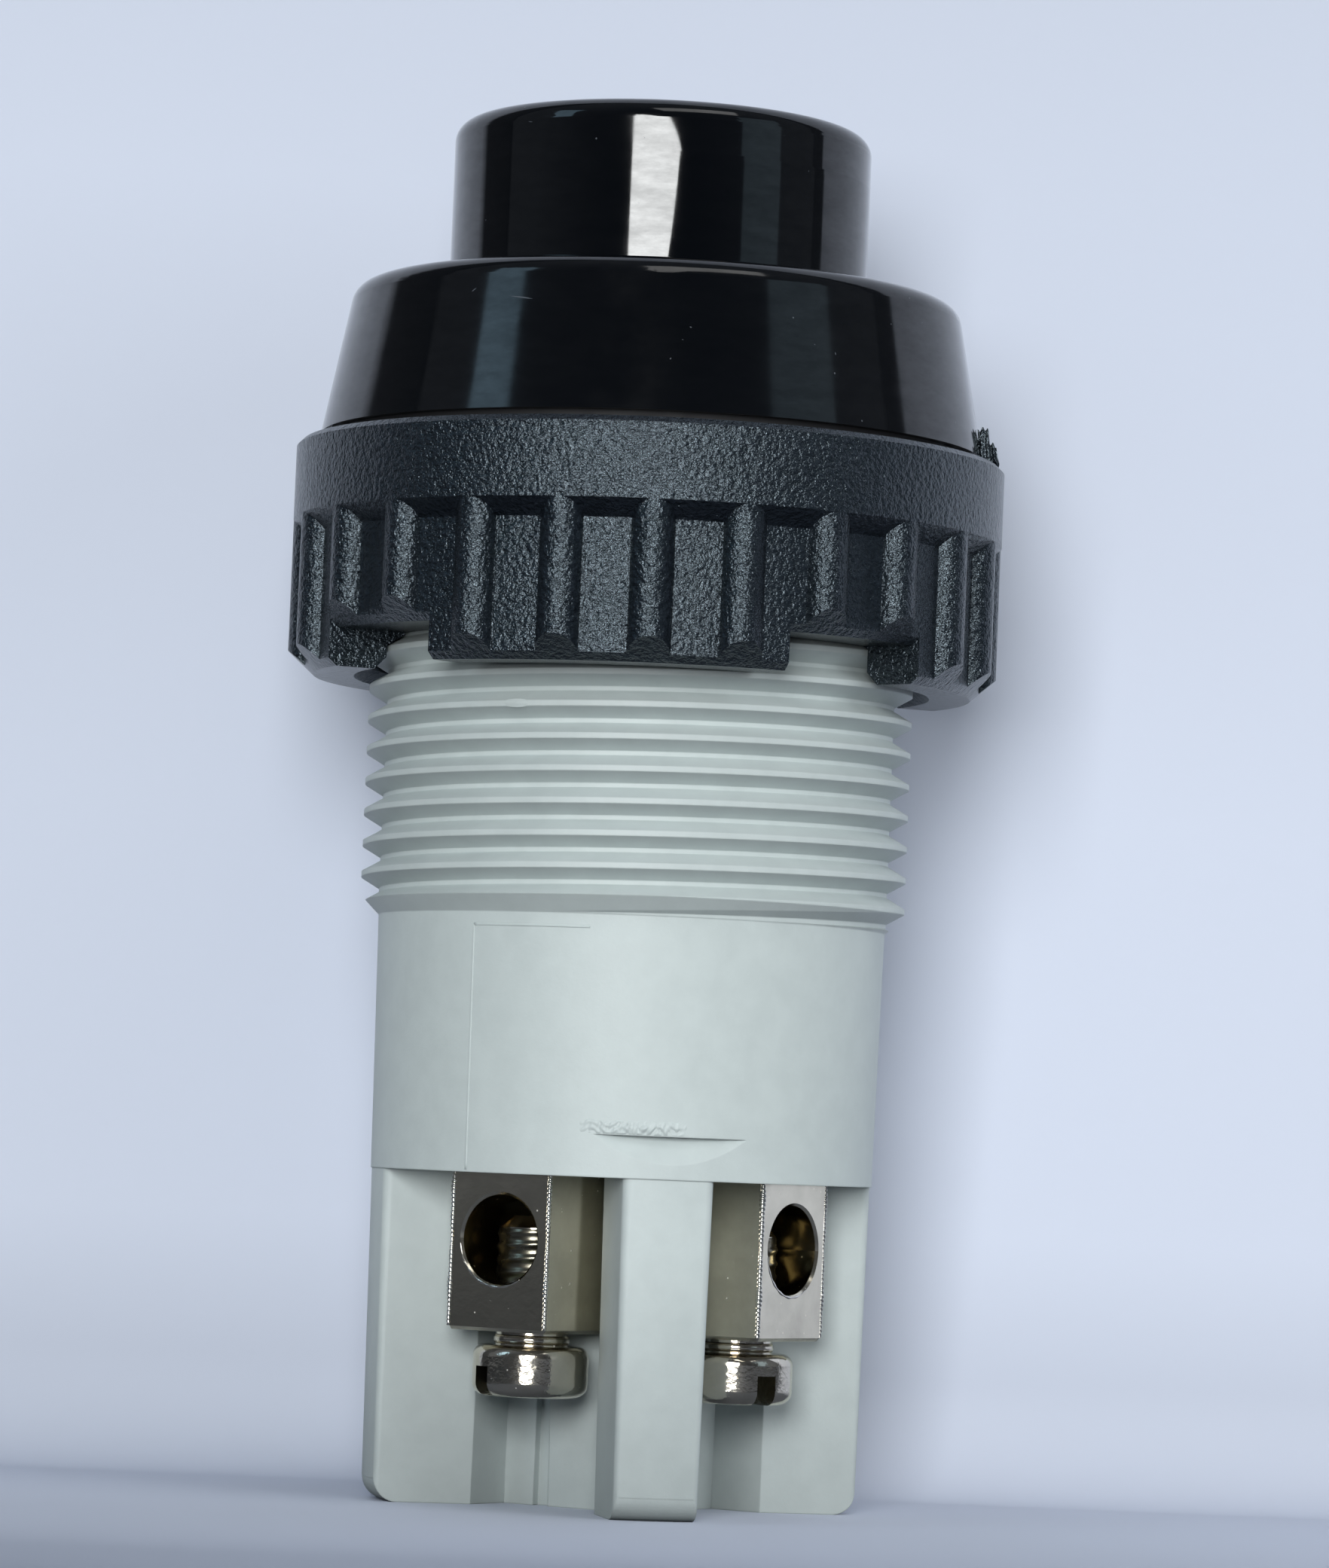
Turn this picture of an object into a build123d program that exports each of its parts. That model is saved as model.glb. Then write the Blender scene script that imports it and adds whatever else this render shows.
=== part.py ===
from build123d import *
from math import cos, hypot, radians, sin, sqrt, tan
import os

# Panel pushbutton switch with one normally closed and one normally open pair of contacts.
# Millimetres. The axis is Z, the button points to +Z, and z = 0 is the panel's front face.
# The four ribs of the base lie along X and Y, and the four terminals on the diagonals between them.

# Thread of the barrel and of the ring nut
thread_radius = 12.25
thread_pitch = 1.4
thread_depth = 0.82
thread_crest = 0.25
thread_root = 0.2
thread_length = 21.15
thread_start_angle = 117.0
thread_top = 0.75
thread_flank_clearance = 0.12
thread_radial_clearance = 0.2
thread_overlap = 0.1
turning_stock = 0.1

# Grey housing
root_clearance = 0.03
barrel_length = 32.5
barrel_draft = 0.15
collar_gap = 0.3
collar_wall = 1.0
bezel_seat_width = 0.55
chamber_wall = 1.8
floor_thickness = 1.9
rib_length = 14.7
rib_thickness = 4.0
rib_inset = 0.05
rib_draft_angle = 0.6
rib_foot_radius = 1.0
rib_edge_radius = 0.4
gate_scar_height = 1.2
gate_scar_depth = 0.5
gate_scar_above_shoulder = 1.85
hub_groove_width = 0.5
hub_groove_depth = 0.4
hub_groove_offset = 1.37

# Black front parts
gasket_thickness = 0.4
gasket_lip = 0.5
bezel_height = 6.9
bezel_lip = 2.7
bezel_taper = 1.3
bezel_edge_radius = 1.0
bezel_web = 2.7
bezel_fit = 0.05
bore_chamfer = 0.3
cap_clearance = 0.2
cap_flange_width = 0.75
cap_flange_thickness = 1.2
cap_stop_gap = 0.1
cap_rise = 7.6
cap_edge_radius = 0.9
cap_wall = 1.3
cap_top_thickness = 1.6
boss_wall = 1.4
boss_length = 7.0

# Ring nut
nut_height = 10.47
nut_wall = 3.75
nut_band_height = 3.54
nut_panel_depth = 0.8
nut_rib_width = 1.9
nut_rib_count = 24
nut_lug_count = 4
nut_notch_angle = 28.0
nut_notch_height = 1.7
nut_foot_width = 1.18
nut_foot_height = 1.05
nut_band_slope = 0.78
nut_entry_chamfer = 0.55
nut_edge_chamfer = 0.25
nut_lug_angle = 252.5
nut_thread_margin = 1.2

# Plunger and contacts
button_travel = 4.4
bridge_ratio = 0.8
stem_side = 3.2
stem_clearance = 0.1
plunger_head_radius = 3.0
shoulder_radius = 3.4
shoulder_height = 2.0
plunger_collar = 1.0
tail_radius = 1.5
tail_clearance = 0.08
tail_guide_depth = 3.0
guide_bottom_gap = 1.0
clip_radius = 3.4
clip_thickness = 0.6
clip_groove_depth = 0.25
clip_mouth = 1.6
clip_fit = 0.03
strip_thickness = 0.8
strip_width = 4.0
strip_clearance = 0.15
strip_foot = 2.0
tip_radius = 1.4
tip_height = 0.7
tip_inset = 1.6
bridge_end_clearance = 0.84
bridge_corner_radius = 1.0
contact_gap = 0.03
nc_arm_drop = 7.9
no_arm_rise = 4.8
return_spring_radius = 2.9
return_spring_wire = 0.7
return_spring_turns = 6
contact_spring_radius = 2.9
contact_spring_wire = 0.5
contact_spring_turns = 4
spring_seat_gap = 0.02

# Terminals
terminal_inset = 4.9
block_width = 5.2
block_depth = 5.6
block_below_shoulder = 6.9
block_socket_depth = 1.0
block_fit = 0.1
block_edge = 0.15
hub_clearance = 0.2
channel_clearance = 0.58
wire_hole_radius = 1.97
wire_hole_below_shoulder = 2.9
wire_hole_chamfer = 0.12
screw_radius = 1.6
screw_clearance = 0.1
screw_tip_chamfer = 0.5
screw_tip_above_hole_centre = 1.05
head_radius = 2.55
head_height = 2.25
head_gap = 0.6
head_edge_radius = 0.6
head_top_radius = 0.5
slot_width = 0.95
slot_depth = 1.3
slot_turns = (67.0, 67.0, 75.0, 40.0)

# Levels and radii that follow from the driving dimensions
core_radius = thread_radius - thread_depth
barrel_radius = core_radius - root_clearance
bezel_seat_radius = barrel_radius + bezel_seat_width
flank_slope = (thread_pitch - thread_crest - thread_root) / 2 / thread_depth
shoulder_radius_of_barrel = barrel_radius - barrel_draft
rib_radius = shoulder_radius_of_barrel - rib_inset
seat_level = gasket_thickness
thread_end = -thread_length
shoulder_level = -barrel_length
rib_end = shoulder_level - rib_length
chamber_floor = shoulder_level + floor_thickness
chamber_radius = barrel_radius - chamber_wall

flange_radius = barrel_radius - collar_wall - cap_clearance
counterbore_radius = flange_radius + cap_clearance
cap_radius = flange_radius - cap_flange_width
bezel_top = seat_level + bezel_height
web_level = bezel_top - bezel_web
collar_top = web_level - collar_gap
cap_top = bezel_top + cap_rise
flange_top = web_level - cap_stop_gap
flange_bottom = flange_top - cap_flange_thickness
counterbore_floor = flange_bottom - button_travel - 2 * cap_stop_gap
cap_ceiling = cap_top - cap_top_thickness
boss_end = cap_ceiling - boss_length

bezel_radius = thread_radius + bezel_lip
nut_radius = thread_radius + nut_wall
nut_bore_radius = thread_radius + thread_radial_clearance
nut_panel_radius = nut_radius - nut_panel_depth

terminal_radius = barrel_radius - terminal_inset
block_inner = terminal_radius - block_depth / 2
hub_half_width = block_inner - hub_clearance
channel_half_width = block_width / 2 + channel_clearance
block_top = shoulder_level + block_socket_depth
block_bottom = shoulder_level - block_below_shoulder
wire_hole_level = shoulder_level - wire_hole_below_shoulder
screw_tip = wire_hole_level + screw_tip_above_hole_centre
head_top = block_bottom - head_gap
head_bottom = head_top - head_height

bridge_travel = button_travel * bridge_ratio
lost_motion = button_travel - bridge_travel
strip_outer = sqrt((chamber_radius - strip_clearance) ** 2 - (strip_width / 2) ** 2)
strip_inner = strip_outer - strip_thickness
bridge_half_length = strip_inner - bridge_end_clearance
tip_distance = bridge_half_length - tip_inset
strip_arm_end = tip_distance - tip_radius
nc_arm_bottom = counterbore_floor - nc_arm_drop
nc_tip_face = nc_arm_bottom - tip_height
nc_bridge_top = nc_tip_face - contact_gap - tip_height
nc_bridge_bottom = nc_bridge_top - strip_thickness
no_arm_top = chamber_floor + no_arm_rise
no_tip_face = no_arm_top + tip_height
no_bridge_bottom = no_tip_face + contact_gap + bridge_travel + tip_height
no_bridge_top = no_bridge_bottom + strip_thickness
shoulder_face = nc_bridge_top + lost_motion + contact_gap
clip_top = no_bridge_bottom - contact_gap
clip_bottom = clip_top - clip_thickness
tail_end = shoulder_level - tail_guide_depth
guide_floor = tail_end - button_travel - guide_bottom_gap

# Terminals 1 and 2 stand left and right of the front rib. 1 and 3 are normally closed, 2 and 4 open.
terminal_angles = {place + 1: 225 + 90 * place for place in range(4)}
closed_pair = [number for number in terminal_angles if number % 2 == 1]
open_pair = [number for number in terminal_angles if number % 2 == 0]

os.makedirs("parts", exist_ok=True)


def save(piece, name):
    """Label a finished piece and write it to its own file."""
    piece.part.label = name
    export_step(piece.part, f"parts/{name}.step")


def section(points):
    """A closed outline of (radius, height) points in the XZ plane, ready to be turned about Z."""
    with BuildSketch(Plane.XZ) as outline:
        with BuildLine():
            Polyline(*points, close=True)
        make_face()
    return outline.sketch


def rounded_corner(radius, low, rounding):
    """What is turned away to round the lower outer corner of a piece, as an outline in XZ."""
    with BuildSketch(Plane.XZ) as waste:
        with BuildLine():
            arc = CenterArc((radius - rounding, low + rounding), rounding, -90, 90)
            Polyline(
                arc @ 1,
                (radius + rounding, low + rounding),
                (radius + rounding, low - rounding),
                (radius - rounding, low - rounding),
                arc @ 0,
            )
        make_face()
    return waste.sketch


def diagonal(number, height=0.0):
    """The level plane whose x axis runs outwards through one terminal."""
    return Plane.XY.offset(height).rotated((0, 0, terminal_angles[number]))


def upright(angle):
    """The vertical plane through the axis whose x axis points outwards at one angle about Z."""
    turn = radians(angle)
    return Plane((0, 0, 0), x_dir=(cos(turn), sin(turn), 0), z_dir=(sin(turn), -cos(turn), 0))


def outward(number, height):
    """The vertical plane on the axis that faces one terminal."""
    angle = radians(terminal_angles[number])
    return Plane((0, 0, height), x_dir=(-sin(angle), cos(angle), 0), z_dir=(cos(angle), sin(angle), 0))


def top_rims(piece):
    """The circles in a piece's top face, smallest first."""
    circles = piece.edges().filter_by(GeomType.CIRCLE)
    return circles.group_by(Axis.Z)[-1].sort_by(SortBy.RADIUS)


def barrel_half_width(outward_offset):
    """Half the width of the barrel's thread ridge, at an offset outwards from its crest."""
    return thread_crest / 2 - flank_slope * outward_offset


def nut_half_width(outward_offset):
    """Half the width of the nut's ridge, which runs between the barrel's turns with clearance."""
    return thread_pitch / 2 - barrel_half_width(outward_offset) - thread_flank_clearance


def ridge(half_width, inner, outer, low, high, turn):
    """A straight-sided ridge wound along the thread's helix between two heights, as a part."""
    with BuildPart() as winding:
        with BuildLine() as path:
            Helix(thread_pitch, high - low, thread_radius, center=(0, 0, low))
        with BuildSketch(Plane(path.line @ 0, x_dir=(1, 0, 0), z_dir=path.line % 0)):
            with BuildLine():
                Polyline(
                    (inner, -half_width(inner)),
                    (inner, half_width(inner)),
                    (outer, half_width(outer)),
                    (outer, -half_width(outer)),
                    close=True,
                )
            make_face()
        sweep(path=path.line, is_frenet=True)
    return winding.part.rotate(Axis.Z, turn + 360 * low / thread_pitch)


def spring(radius, wire, turns, low, high):
    """A round wire wound between two seats, as a part."""
    bottom = low + wire / 2 + spring_seat_gap
    top = high - wire / 2 - spring_seat_gap
    with BuildPart() as winding:
        with BuildLine() as path:
            Helix((top - bottom) / turns, top - bottom, radius, center=(0, 0, bottom))
        with BuildSketch(Plane(path.line @ 0, x_dir=(1, 0, 0), z_dir=path.line % 0)):
            Circle(wire / 2)
        sweep(path=path.line, is_frenet=True)
    return winding


# Grey housing: barrel, collar for the bezel, contact chamber, ribs and pockets
barrel_ridge = ridge(
    barrel_half_width,
    -thread_depth - thread_overlap,
    turning_stock,
    thread_end - thread_pitch / 2,
    -thread_top,
    thread_start_angle,
)
thread_run_out = thread_radius - barrel_radius
with BuildPart() as housing:
    revolve(
        section(
            [
                (0, collar_top),
                (barrel_radius, collar_top),
                (barrel_radius, seat_level),
                (bezel_seat_radius, seat_level),
                (bezel_seat_radius, 0),
                (core_radius, 0),
                (core_radius, shoulder_level),
                (0, shoulder_level),
            ]
        ),
        axis=Axis.Z,
    )
    add(barrel_ridge)
    # Crest, run-out and tapered barrel turned to size
    revolve(
        section(
            [
                (thread_radius, 0),
                (thread_radius, thread_end + thread_run_out),
                (barrel_radius, thread_end),
                (shoulder_radius_of_barrel, shoulder_level),
                (shoulder_radius_of_barrel, rib_end),
                (2 * thread_radius, rib_end),
                (2 * thread_radius, 0),
            ]
        ),
        axis=Axis.Z,
        mode=Mode.SUBTRACT,
    )
    # Cross of ribs, with the pockets of the terminals between them and a rounded foot
    pocket_step = rib_thickness / sqrt(2) + channel_half_width
    pocket_reach = 2 * rib_radius
    with BuildSketch(Plane.XY.offset(shoulder_level)) as cross:
        Circle(rib_radius)
        with PolarLocations(0, len(terminal_angles), terminal_angles[1]):
            Polygon(
                (hub_half_width, -channel_half_width),
                (pocket_step, -channel_half_width),
                (pocket_step + pocket_reach, -channel_half_width - pocket_reach),
                (pocket_step + pocket_reach, channel_half_width + pocket_reach),
                (pocket_step, channel_half_width),
                (hub_half_width, channel_half_width),
                align=None,
                mode=Mode.SUBTRACT,
            )
        with PolarLocations(0, len(terminal_angles), terminal_angles[1]):
            with Locations((hub_half_width, -hub_groove_offset)):
                Rectangle(2 * hub_groove_depth, hub_groove_width, mode=Mode.SUBTRACT)
        rib_corners = cross.vertices().filter_by(
            lambda corner: hypot(corner.X, corner.Y) > rib_radius - rib_edge_radius
        )
        fillet(rib_corners, rib_edge_radius)
    extrude(amount=-rib_length, taper=rib_draft_angle)
    rib_end_radius = rib_radius - rib_length * tan(radians(rib_draft_angle))
    revolve(rounded_corner(rib_end_radius, rib_end, rib_foot_radius), axis=Axis.Z, mode=Mode.SUBTRACT)
    # Contact chamber, counterbore for the cap's flange and guide hole of the plunger's tail
    with BuildSketch(Plane.XY.offset(chamber_floor)):
        Circle(chamber_radius)
    extrude(amount=collar_top - chamber_floor, mode=Mode.SUBTRACT)
    with BuildSketch(Plane.XY.offset(counterbore_floor)):
        Circle(counterbore_radius)
    extrude(amount=collar_top - counterbore_floor, mode=Mode.SUBTRACT)
    with BuildSketch(Plane.XY.offset(guide_floor)):
        Circle(tail_radius + tail_clearance)
    extrude(amount=chamber_floor - guide_floor, mode=Mode.SUBTRACT)
    # Sockets for the blocks and slots for the strips above them
    for number in terminal_angles:
        with BuildSketch(diagonal(number, shoulder_level)):
            with Locations((terminal_radius, 0)):
                Rectangle(block_depth + 2 * block_fit, block_width + 2 * block_fit)
        extrude(amount=block_socket_depth, mode=Mode.SUBTRACT)
        with BuildSketch(diagonal(number, block_top)):
            with Locations(((strip_inner + strip_outer) / 2, 0)):
                Rectangle(strip_thickness + 2 * block_fit, strip_width + 2 * block_fit)
        extrude(amount=chamber_floor - block_top, mode=Mode.SUBTRACT)
    # Scar of the moulding gate over the front rib: a sharp upper edge with a ramp below it
    scar_top = shoulder_level + gate_scar_above_shoulder
    scar_slope = gate_scar_depth / gate_scar_height
    with BuildSketch(Plane.YZ):
        with BuildLine():
            Polyline(
                (gate_scar_depth - shoulder_radius_of_barrel, scar_top),
                (-thread_radius, scar_top),
                (
                    -thread_radius,
                    scar_top - (thread_radius - shoulder_radius_of_barrel + gate_scar_depth) / scar_slope,
                ),
                close=True,
            )
        make_face()
    extrude(amount=thread_radius, both=True, mode=Mode.SUBTRACT)
save(housing, "housing")

# Black bezel: a tapered ring that sits on the barrel's collar and holds the cap in
with BuildPart() as bezel_ring:
    revolve(
        section(
            [
                (barrel_radius + bezel_fit, seat_level),
                (bezel_radius, seat_level),
                (bezel_radius - bezel_taper, bezel_top),
                (cap_radius + cap_clearance, bezel_top),
                (cap_radius + cap_clearance, web_level),
                (barrel_radius + bezel_fit, web_level),
            ]
        ),
        axis=Axis.Z,
    )
    fillet(top_rims(bezel_ring)[-1], bezel_edge_radius)
    chamfer(top_rims(bezel_ring)[0], bore_chamfer)
save(bezel_ring, "bezel_ring")

# Rubber gasket between bezel and panel
with BuildPart() as panel_gasket:
    with BuildSketch():
        Circle(bezel_radius - gasket_lip)
        Circle(nut_bore_radius, mode=Mode.SUBTRACT)
    extrude(amount=gasket_thickness)
save(panel_gasket, "panel_gasket")

# Ring nut: plain band, ribbed skirt with sloping feet, wrench notches and an inside thread
nut_ridge = ridge(
    nut_half_width,
    thread_radial_clearance - thread_depth,
    2 * thread_radial_clearance,
    nut_thread_margin - nut_height,
    -nut_thread_margin,
    thread_start_angle + 180,
)


def nut_waste(level):
    """Points around what is taken away below a level, with the outer edge sloped off above it."""
    return [
        (0, level),
        (nut_radius - nut_foot_width, level),
        (nut_radius, level + nut_foot_height),
        (2 * nut_radius, level + nut_foot_height),
        (2 * nut_radius, level - nut_height),
        (0, level - nut_height),
    ]


with BuildPart() as notch:
    revolve(
        section(nut_waste(nut_notch_height - nut_height)),
        axis=Axis.Z,
        revolution_arc=nut_notch_angle,
    )
nut_rib_radius = (nut_panel_depth**2 + (nut_rib_width / 2) ** 2) / (2 * nut_panel_depth)
nut_rib_pitch = 360 / nut_rib_count
with BuildPart() as ring_nut:
    revolve(
        section(
            [
                (nut_bore_radius, 0),
                (nut_radius - nut_edge_chamfer, 0),
                (nut_radius, -nut_edge_chamfer),
                (nut_radius, -nut_band_height),
                (nut_panel_radius, -nut_band_height - nut_band_slope),
                (nut_panel_radius, -nut_height),
                (nut_bore_radius + nut_entry_chamfer, -nut_height),
                (nut_bore_radius, nut_entry_chamfer - nut_height),
            ]
        ),
        axis=Axis.Z,
    )
    with BuildSketch(Plane.XY.offset(-nut_height)):
        with PolarLocations(
            nut_radius - nut_rib_radius, nut_rib_count, nut_lug_angle + nut_rib_pitch / 2
        ):
            Circle(nut_rib_radius)
    extrude(amount=nut_height - nut_band_height / 2)
    revolve(section(nut_waste(-nut_height)), axis=Axis.Z, mode=Mode.SUBTRACT)
    add(nut_ridge)
    for place in range(nut_lug_count):
        turn = nut_lug_angle + (place + 0.5) * 360 / nut_lug_count - nut_notch_angle / 2
        add(notch.part.rotate(Axis.Z, turn), mode=Mode.SUBTRACT)
save(ring_nut, "ring_nut")

# Black button cap: a hollow cup with a flange under the bezel and a socket for the plunger
boss_radius = plunger_head_radius + boss_wall
with BuildPart() as button_cap:
    revolve(
        section(
            [
                (0, cap_top),
                (cap_radius, cap_top),
                (cap_radius, flange_top),
                (flange_radius, flange_top),
                (flange_radius, flange_bottom),
                (cap_radius - cap_wall, flange_bottom),
                (cap_radius - cap_wall, cap_ceiling),
                (boss_radius, cap_ceiling),
                (boss_radius, boss_end),
                (plunger_head_radius + stem_clearance, boss_end),
                (plunger_head_radius + stem_clearance, cap_ceiling),
                (0, cap_ceiling),
            ]
        ),
        axis=Axis.Z,
    )
    fillet(top_rims(button_cap)[-1], cap_edge_radius)
save(button_cap, "button_cap")

# Plunger: round head in the cap's socket, square stem through the bridges, round tail in the hub
with BuildPart() as plunger:
    revolve(
        section(
            [
                (0, cap_ceiling),
                (plunger_head_radius, cap_ceiling),
                (plunger_head_radius, boss_end),
                (boss_radius, boss_end),
                (boss_radius, boss_end - plunger_collar),
                (tail_radius, boss_end - plunger_collar),
                (tail_radius, clip_top),
                (tail_radius - clip_groove_depth, clip_top),
                (tail_radius - clip_groove_depth, clip_bottom),
                (tail_radius, clip_bottom),
                (tail_radius, tail_end),
                (0, tail_end),
            ]
        ),
        axis=Axis.Z,
    )
    with BuildSketch(diagonal(1, clip_top)):
        Rectangle(stem_side, stem_side)
    extrude(amount=boss_end - plunger_collar - clip_top)
    with BuildSketch(Plane.XY.offset(shoulder_face)):
        Circle(shoulder_radius)
    extrude(amount=shoulder_height)
save(plunger, "plunger")

# Retaining clip snapped into the tail's groove
with BuildPart() as retaining_clip:
    with BuildSketch(Plane.XY.offset(clip_bottom)):
        Circle(clip_radius)
        Circle(tail_radius - clip_groove_depth + clip_fit, mode=Mode.SUBTRACT)
        with Locations((clip_radius, 0)):
            Rectangle(2 * clip_radius, clip_mouth, mode=Mode.SUBTRACT)
    extrude(amount=clip_thickness)
save(retaining_clip, "retaining_clip")

# Springs
return_spring = spring(
    return_spring_radius, return_spring_wire, return_spring_turns, chamber_floor, clip_bottom
)
save(return_spring, "return_spring")
contact_spring = spring(
    contact_spring_radius, contact_spring_wire, contact_spring_turns, no_bridge_top, nc_bridge_bottom
)
save(contact_spring, "contact_spring")


def bridge(number, low):
    """A contact bar across the stem, in line with one terminal."""
    with BuildPart() as bar:
        with BuildSketch(diagonal(number, low)):
            RectangleRounded(2 * bridge_half_length, strip_width, bridge_corner_radius)
            stem_hole = stem_side + 2 * stem_clearance
            Rectangle(stem_hole, stem_hole, mode=Mode.SUBTRACT)
        extrude(amount=strip_thickness)
    return bar


def tips(pair, low):
    """The two silver contacts of one pair, as separate solids."""
    with BuildPart() as buttons:
        for number in pair:
            with BuildSketch(diagonal(number, low)):
                with Locations((tip_distance, 0)):
                    Circle(tip_radius)
            extrude(amount=tip_height)
    return buttons


# Moving bridges and their contacts
nc_bridge = bridge(closed_pair[0], nc_bridge_bottom)
save(nc_bridge, "nc_bridge")
no_bridge = bridge(open_pair[0], no_bridge_bottom)
save(no_bridge, "no_bridge")
nc_bridge_tips = tips(closed_pair, nc_bridge_top)
save(nc_bridge_tips, "nc_bridge_tips")
no_bridge_tips = tips(open_pair, no_bridge_bottom - tip_height)
save(no_bridge_tips, "no_bridge_tips")

# Fixed contacts: a strip from the terminal block up the chamber wall, with a foot and an arm
for number in terminal_angles:
    arm_bottom = nc_arm_bottom if number in closed_pair else no_arm_top - strip_thickness
    with BuildPart() as fixed_contact:
        with BuildSketch(upright(terminal_angles[number])):
            with BuildLine():
                Polyline(
                    (strip_outer, block_top),
                    (strip_outer, arm_bottom + strip_thickness),
                    (strip_arm_end, arm_bottom + strip_thickness),
                    (strip_arm_end, arm_bottom),
                    (strip_inner, arm_bottom),
                    (strip_inner, chamber_floor + strip_thickness),
                    (strip_inner - strip_foot, chamber_floor + strip_thickness),
                    (strip_inner - strip_foot, chamber_floor),
                    (strip_inner, chamber_floor),
                    (strip_inner, block_top),
                    close=True,
                )
            make_face()
        extrude(amount=strip_width / 2, both=True)
    save(fixed_contact, f"fixed_contact_{number}")
nc_fixed_tips = tips(closed_pair, nc_tip_face)
save(nc_fixed_tips, "nc_fixed_tips")
no_fixed_tips = tips(open_pair, no_arm_top)
save(no_fixed_tips, "no_fixed_tips")

# Terminal blocks with a wire hole facing outwards and a screw hole from below
for number in terminal_angles:
    with BuildPart() as terminal_block:
        with BuildSketch(diagonal(number, block_bottom)):
            with Locations((terminal_radius, 0)):
                Rectangle(block_depth, block_width)
        extrude(amount=block_top - block_bottom)
        chamfer(terminal_block.edges(), block_edge)
        with BuildSketch(outward(number, wire_hole_level)):
            Circle(wire_hole_radius)
        extrude(amount=2 * terminal_radius, mode=Mode.SUBTRACT)
        wire_rims = terminal_block.edges().filter_by(GeomType.CIRCLE)
        chamfer(wire_rims, wire_hole_chamfer)
        with BuildSketch(diagonal(number, block_bottom)):
            with Locations((terminal_radius, 0)):
                Circle(screw_radius + screw_clearance)
        extrude(amount=wire_hole_level - block_bottom, mode=Mode.SUBTRACT)
    save(terminal_block, f"terminal_block_{number}")

# Slotted terminal screws, driven from below
for (number, angle), slot_turn in zip(terminal_angles.items(), slot_turns):
    centre = Vector(terminal_radius * cos(radians(angle)), terminal_radius * sin(radians(angle)))
    with BuildPart() as terminal_screw:
        with BuildSketch(Plane(origin=centre, x_dir=(1, 0, 0), z_dir=(0, -1, 0))):
            with BuildLine():
                Polyline(
                    (0, screw_tip),
                    (screw_radius - screw_tip_chamfer, screw_tip),
                    (screw_radius, screw_tip - screw_tip_chamfer),
                    (screw_radius, head_top),
                    (head_radius, head_top),
                    (head_radius, head_bottom),
                    (0, head_bottom),
                    close=True,
                )
            make_face()
        revolve(axis=Axis(centre, (0, 0, 1)))
        head_rims = terminal_screw.edges().filter_by(GeomType.CIRCLE).sort_by(SortBy.RADIUS)[-2:]
        fillet(head_rims.sort_by(Axis.Z)[0], head_edge_radius)
        fillet(terminal_screw.edges().filter_by(GeomType.CIRCLE).sort_by(SortBy.RADIUS)[-1], head_top_radius)
        with BuildSketch(Plane.XY.offset(head_bottom)):
            with Locations(Location(centre, (0, 0, angle + slot_turn))):
                Rectangle(slot_width, 3 * head_radius)
        extrude(amount=slot_depth, mode=Mode.SUBTRACT)
    save(terminal_screw, f"terminal_screw_{number}")
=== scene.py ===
import math

import bmesh
import bpy
import numpy as np
from mathutils import Matrix, Vector


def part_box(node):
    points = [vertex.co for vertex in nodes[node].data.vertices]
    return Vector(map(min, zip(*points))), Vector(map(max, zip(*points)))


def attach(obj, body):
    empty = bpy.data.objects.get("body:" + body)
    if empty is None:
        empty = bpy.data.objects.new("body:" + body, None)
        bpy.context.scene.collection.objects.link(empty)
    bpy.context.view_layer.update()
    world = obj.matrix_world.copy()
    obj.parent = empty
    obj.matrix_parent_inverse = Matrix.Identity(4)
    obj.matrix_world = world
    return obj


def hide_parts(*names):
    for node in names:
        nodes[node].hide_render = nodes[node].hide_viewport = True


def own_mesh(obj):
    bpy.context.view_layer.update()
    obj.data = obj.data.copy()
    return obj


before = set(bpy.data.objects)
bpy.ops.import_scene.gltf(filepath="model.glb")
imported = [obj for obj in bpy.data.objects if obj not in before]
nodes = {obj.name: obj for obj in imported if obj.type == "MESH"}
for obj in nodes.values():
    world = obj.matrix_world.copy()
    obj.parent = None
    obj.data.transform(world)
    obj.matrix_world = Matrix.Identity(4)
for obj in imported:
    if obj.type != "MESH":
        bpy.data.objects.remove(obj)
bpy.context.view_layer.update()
MM = 0.001
# Direction of each terminal about the axis, in degrees
TERMINALS = {1: 225.0, 2: 315.0, 3: 45.0, 4: 135.0}

# Camera at the photograph's viewing angle, with its sensor along the photograph's height
PHOTO_HEIGHT = 2082
FOCAL_PIXELS = 8000.0
SENSOR = 36.0
CAMERA_AZIMUTH = -10.9
CAMERA_SIDE = CAMERA_AZIMUTH - 90
CAMERA_DISTANCE = 271.4 * MM
CAMERA_HEIGHT = -31.37 * MM
CAMERA_PITCH = 3.509
CAMERA_YAW = 0.257
CAMERA_ROLL = 2.362
CLIP_NEAR, CLIP_FAR = 0.01, 20.0


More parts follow.
